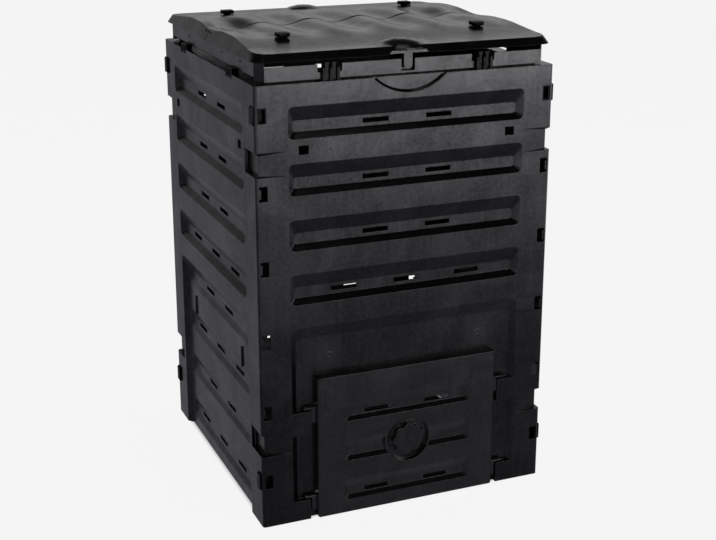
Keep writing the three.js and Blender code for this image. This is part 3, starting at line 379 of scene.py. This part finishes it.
def apply_modifier(piece, kind, **settings):
    activate(piece)
    modifier = piece.modifiers.new(kind.lower(), kind)
    for key, value in settings.items():
        setattr(modifier, key, value)
    bpy.ops.object.modifier_apply(modifier=modifier.name)


def chamfer(piece, width):
    apply_modifier(
        piece, "BEVEL", width=width, segments=2, limit_method="ANGLE", use_clamp_overlap=True,
        angle_limit=math.radians(CHAMFER_ANGLE),
    )


def smooth_by(piece, angle):
    activate(piece)
    bpy.ops.object.shade_smooth_by_angle(angle=math.radians(angle))
    apply_modifier(piece, "WEIGHTED_NORMAL", keep_sharp=True, weight=FACE_WEIGHT)


def copy_of(node, name):
    """A merged copy of a CAD node's mesh, as a piece of its own."""
    piece = bpy.data.objects.new(name, frame["nodes"][node].data.copy())
    bpy.context.scene.collection.objects.link(piece)
    activate(piece)
    bpy.ops.mesh.customdata_custom_splitnormals_clear()
    bpy.ops.object.mode_set(mode="EDIT")
    bpy.ops.mesh.select_all(action="SELECT")
    bpy.ops.mesh.remove_doubles(threshold=MERGE_REACH)
    bpy.ops.object.mode_set(mode="OBJECT")
    return piece


def body_of(node):
    for body, members in frame["record"]["behaviour"]["bodies"].items():
        if node in members:
            return body
    raise ValueError(node)


def belong(piece, finish_name, node):
    """Gives a piece its material, and the body of a CAD node."""
    piece.data.materials.clear()
    piece.data.materials.append(MATERIALS[finish_name])
    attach(piece, body_of(node))


def soft_edged(node, finish_name, angle=FLAT_ANGLE, edge=0.0, shape=None):
    """Replaces a CAD node by a copy that is chamfered or shaped, shaded smooth and dressed."""
    piece = copy_of(node, node + "_moulding")
    if edge:
        chamfer(piece, edge)
    if shape:
        shape(piece)
    smooth_by(piece, angle)
    belong(piece, finish_name, node)
    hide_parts(node)
    return piece


def smooth_share(length, run):
    share = min(max(length / run, 0.0), 1.0)
    return share * share * (3.0 - 2.0 * share)


def lid_height(x, y):
    """Height of the wings' upper skin: a crown, a fall to the sides of the seam and the waves."""
    across_x, across_y = abs(x), abs(y)
    rise = LID["crown"] * smooth_share(LID["top_half"] - across_y, LID["crown_run"])
    beside = 1.0 - smooth_share(LID["last"] - across_x, LID["side_run"])
    fall = LID["fall"] * beside * smooth_share(LID["fall_run"] - across_y, LID["fall_run"])
    waved = smooth_share(LID["faded"] - across_y, LID["faded"] - LID["flat"])
    waved *= smooth_share(LID["last"] - across_x, LID["wave_run"])
    phase = 2.0 * math.pi * (x - LID["shift"]) / LID["pitch"]
    return LID["edge_top"] + rise - fall + LID["wave"] * waved * math.cos(phase)


def smooth_waves(skin):
    """Divides a wing's upper skin finely and lays it on the true curve of its waves."""
    mesh = skin.data
    on_top = [abs(v.co.z - lid_height(v.co.x, v.co.y)) < SKIN_REACH for v in mesh.vertices]
    select_parts(skin, "FACE", lambda face: all(on_top[index] for index in face.vertices))
    bpy.ops.mesh.subdivide(number_cuts=SKIN_CUTS)
    bpy.ops.object.mode_set(mode="OBJECT")
    for face in mesh.polygons:
        if face.select:
            for index in face.vertices:
                place = mesh.vertices[index].co
                place.z = lid_height(place.x, place.y)


def finger_recess_lip(node, outward):
    """The slope that runs round the finger recess at the top of a wall."""
    slope, radius = FINGER_LIP["slope"], FINGER_LIP["radius"]
    lowest = Vector((0.0, outward * (BODY_HALF - slope), WALL_TOP - FINGER_LIP["depth"]))
    centre = lowest + Vector((0.0, 0.0, radius))
    half_turn = math.asin((FINGER_LIP["half_width"] - slope) / radius)
    deselect_all()
    bpy.ops.mesh.primitive_circle_add(
        vertices=4, radius=slope, fill_type="NGON", location=lowest, rotation=(0, math.pi / 2, 0),
    )
    lip = bpy.context.object
    lip.name = f"{node}_finger_lip"
    bpy.ops.object.transform_apply(location=True, rotation=True, scale=True)
    bpy.ops.object.mode_set(mode="EDIT")
    bpy.ops.mesh.select_all(action="SELECT")
    bpy.ops.transform.rotate(
        value=half_turn, orient_axis="Y", orient_type="GLOBAL", center_override=centre,
    )
    bpy.ops.mesh.spin(
        steps=FINGER_LIP["steps"], angle=2 * half_turn, center=centre, axis=(0, -1, 0),
    )
    bpy.ops.mesh.select_all(action="SELECT")
    bpy.ops.mesh.remove_doubles(threshold=MERGE_REACH)
    bpy.ops.mesh.normals_make_consistent(inside=False)
    bpy.ops.object.mode_set(mode="OBJECT")
    smooth_by(lip, FLAT_ANGLE)
    belong(lip, WALLS[node], node)


def raise_comb(piece, node):
    """Carries a bracket's comb up to just under the wing's rim."""
    tip_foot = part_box(node)[1][2] - COMB["tip"]
    select_parts(piece, "VERT", lambda vertex: vertex.co.z > tip_foot)
    bpy.ops.transform.translate(value=(0, 0, COMB["rise"]))
    bpy.ops.object.mode_set(mode="OBJECT")


# Stage
def make_floor():
    """A pale floor that keeps the bin's shadow; where plastic mirrors it, it is a painted glow with
    painted shade near the bin.
    """
    deselect_all()
    bpy.ops.mesh.primitive_plane_add(size=FLOOR_SIZE, location=(0, 0, 0))
    floor = bpy.context.object
    floor.name = "floor"
    material = bpy.data.materials.new("pale_floor")
    finish = Finish(material)
    path = finish.node("ShaderNodeLightPath")
    spot = finish.split(finish.place())
    reach = finish.math("MAXIMUM", abs(spot.out("X")), abs(spot.out("Y")))
    straight = path.out("Is Camera Ray") + path.out("Is Transmission Ray")
    seen = straight * WHITE_SHARE * reach.between(*SHADED_HALF)
    pale = finish.mixed(seen, finish.principled(FLOOR_FINISH), finish.emission(WHITE, 1.0))
    # Glossy rays see a painted glow instead of the lit floor: painted shade near the bin, brighter
    # further off, with a blue tint
    ahead = -spot.out("Y")
    beside = (spot.out("X") + BODY_HALF) * PAINTED_FLOOR_REFLECTION["corner_slope"]
    behind = finish.math("MINIMUM", spot.out("Y"), beside)
    away = finish.math("MAXIMUM", finish.math("MAXIMUM", ahead, spot.out("X")), behind)
    level = away.between(*PAINTED_FLOOR_REFLECTION["far_run"]) * PAINTED_FLOOR_REFLECTION["far"]
    level = level + (1 - ahead.between(*PAINTED_FLOOR_REFLECTION["behind_run"])) * PAINTED_FLOOR_REFLECTION["behind"]
    painted_reflection = finish.emission(PAINTED_FLOOR_REFLECTION["tint"], level + PAINTED_FLOOR_REFLECTION["near"])
    finish.surface(finish.mixed(path.out("Is Glossy Ray"), pale, painted_reflection))
    floor.data.materials.append(material)


def make_world():
    """A dim sky that is a little lighter near the horizon, and white where the camera sees it."""
    world = bpy.data.worlds.new("studio")
    bpy.context.scene.world = world
    sky = Finish(world)
    spot = sky.split(sky.node("ShaderNodeTexCoord").out("Generated"))
    height = sky.node("ShaderNodeMapRange", values={"Value": spot.out("Z"), "From Max": SKY_TOP})
    stops = [(position, (level, level, level * SKY_BLUE)) for position, level in SKY_LEVELS]
    ramp = sky.node("ShaderNodeValToRGB", {"stops": stops}, {"Fac": height.out("Result")})
    path = sky.node("ShaderNodeLightPath")
    room = sky.background(ramp.out("Color"))
    both = sky.mixed(path.out("Is Camera Ray"), room, sky.background(WHITE))
    sky.surface(both, "ShaderNodeOutputWorld")


def softbox(name, place, target, size, power):
    deselect_all()
    bpy.ops.object.light_add(type="AREA", location=place)
    lamp = bpy.context.object
    lamp.name = name
    lamp.data.shape = "RECTANGLE"
    lamp.data.size, lamp.data.size_y = size
    lamp.data.energy = power
    lamp.rotation_euler = (Vector(target) - Vector(place)).to_track_quat("-Z", "Y").to_euler()


def make_camera(stage):
    deselect_all()
    bpy.ops.object.camera_add(
        location=stage.place, rotation=(math.pi / 2 - stage.elevation, 0.0, stage.azimuth),
    )
    camera = bpy.context.object
    camera.name = "photo_camera"
    camera.data.sensor_width = SENSOR_WIDTH
    camera.data.lens = stage.lens
    camera.data.shift_y = stage.shift
    bpy.context.scene.camera = camera


# Settings
class BinPlasticSettings(bpy.types.PropertyGroup):
    colour: bpy.props.FloatVectorProperty(
        name="Colour", description="Base colour of the plastic", subtype="COLOR",
        default=(0.0035, 0.0035, 0.0048), min=0.0, max=1.0,
    )
    roughness: bpy.props.FloatProperty(
        name="Roughness", description="Mean roughness of the moulded surface", default=0.24,
        min=0.0, max=1.0, subtype="FACTOR",
    )
    variation: bpy.props.FloatProperty(
        name="Gloss variation", description="How much the flow marks change the gloss",
        default=0.08, min=0.0, max=0.5, subtype="FACTOR",
    )
    index: bpy.props.FloatProperty(
        name="Refractive index", description="Index of the plastic below its glossy skin",
        default=1.36, min=1.0, max=2.5,
    )
    sheen: bpy.props.FloatProperty(
        name="Glossy skin", description="Strength of the glossy patches that the flow leaves",
        default=1.0, min=0.0, max=1.0, subtype="FACTOR",
    )
    edge: bpy.props.FloatProperty(
        name="Edge radius", description="Radius of the moulded edges", default=2.4 * MM,
        min=0.0, unit="LENGTH",
    )


class BinStageSettings(bpy.types.PropertyGroup):
    place: bpy.props.FloatVectorProperty(
        name="Camera place", description="Where the camera stands, from the middle of the base",
        default=(-1.017839, -2.497465, 1.290511), subtype="TRANSLATION",
    )
    lens: bpy.props.FloatProperty(
        name="Lens", description="Focal length on a 36 mm sensor", default=67.43, min=1.0,
        unit="CAMERA",
    )
    azimuth: bpy.props.FloatProperty(
        name="Azimuth", description="Turn of the camera round the bin",
        default=math.radians(-22.593), subtype="ANGLE",
    )
    elevation: bpy.props.FloatProperty(
        name="Elevation", description="How far the camera looks down",
        default=math.radians(16.883), subtype="ANGLE",
    )
    shift: bpy.props.FloatProperty(
        name="Shift", description="How far the view is moved up, as a share of its width",
        default=-0.05,
    )


# Operators
class BIN_OT_finishes(bpy.types.Operator):
    """Make the plastic finishes of the bin"""

    bl_idname = "bin.finishes"
    bl_label = "Finishes"

    def execute(self, context):
        look = context.scene.bin_plastic
        for name, traits in FINISHES.items():
            MATERIALS[name] = moulded_plastic(f"{name}_plastic", look, **traits)
        return {"FINISHED"}


class BIN_OT_walls(bpy.types.Operator):
    """Dress the four slotted walls"""

    bl_idname = "bin.walls"
    bl_label = "Walls"

    def execute(self, context):
        for node, finish_name in WALLS.items():
            soft_edged(node, finish_name)
        for node, outward in (("front_wall", -1), ("back_wall", 1)):
            finger_recess_lip(node, outward)
        return {"FINISHED"}


class BIN_OT_door(bpy.types.Operator):
    """Dress the harvest door and its air knob"""

    bl_idname = "bin.door"
    bl_label = "Door and knob"

    def execute(self, context):
        soft_edged("door_panel", "door")
        soft_edged("door_knob", "knob", ROUND_ANGLE, KNOB_CHAMFER)
        soft_edged("knob_retainer", "clip")
        return {"FINISHED"}


class BIN_OT_lid(bpy.types.Operator):
    """Dress the lid frame and its two wings"""

    bl_idname = "bin.lid"
    bl_label = "Lid"

    def execute(self, context):
        soft_edged("lid_frame", "frame")
        for wing in WINGS:
            soft_edged(f"{wing}_wing", "lid", ROUND_ANGLE, shape=smooth_waves)
            soft_edged(f"{wing}_wing_brace", "frame")
            for end in ENDS:
                clip = f"{wing}_wing_clip_{end}"
                soft_edged(clip, "lid_clip", ROUND_ANGLE, LID_CLIP_CHAMFER)
        return {"FINISHED"}


class BIN_OT_clips(bpy.types.Operator):
    """Dress the corner clips and the frame brackets"""

    bl_idname = "bin.clips"
    bl_label = "Clips and brackets"

    def execute(self, context):
        for node in frame["nodes"]:
            if node.startswith(("corner_clip", "frame_bracket")):
                piece = soft_edged(node, "clip")
                if node.startswith(("frame_bracket_front", "frame_bracket_back")):
                    raise_comb(piece, node)
        return {"FINISHED"}


class BIN_OT_stage(bpy.types.Operator):
    """Set up the floor, the backdrop, the studio lamps and the camera"""

    bl_idname = "bin.stage"
    bl_label = "Stage"

    def execute(self, context):
        make_floor()
        make_world()
        for name, (place, target, size, power) in LAMPS.items():
            softbox(name, place, target, size, power)
        make_camera(context.scene.bin_stage)
        context.scene.view_settings.view_transform = "Standard"
        return {"FINISHED"}


class BIN_PT_panel(bpy.types.Panel):
    """Lists the settings and the steps that dress the bin"""

    bl_label = "Compost Bin"
    bl_idname = "BIN_PT_panel"
    bl_space_type = "VIEW_3D"
    bl_region_type = "UI"
    bl_category = "Compost Bin"

    def draw(self, context):
        layout = self.layout
        for name in ("colour", "roughness", "variation", "index", "sheen", "edge"):
            layout.prop(context.scene.bin_plastic, name)
        for name in ("place", "lens", "azimuth", "elevation", "shift"):
            layout.prop(context.scene.bin_stage, name)
        for step in STEPS:
            layout.operator(step.bl_idname)


STEPS = (BIN_OT_finishes, BIN_OT_walls, BIN_OT_door, BIN_OT_lid, BIN_OT_clips, BIN_OT_stage)
CLASSES = (BinPlasticSettings, BinStageSettings, *STEPS, BIN_PT_panel)


def register():
    for cls in CLASSES:
        bpy.utils.register_class(cls)
    bpy.types.Scene.bin_plastic = bpy.props.PointerProperty(type=BinPlasticSettings)
    bpy.types.Scene.bin_stage = bpy.props.PointerProperty(type=BinStageSettings)


def unregister():
    del bpy.types.Scene.bin_stage
    del bpy.types.Scene.bin_plastic
    for cls in reversed(CLASSES):
        bpy.utils.unregister_class(cls)


def main():
    register()
    bpy.ops.bin.finishes()
    bpy.ops.bin.walls()
    bpy.ops.bin.door()
    bpy.ops.bin.lid()
    bpy.ops.bin.clips()
    bpy.ops.bin.stage()


if __name__ == "__main__":
    main()
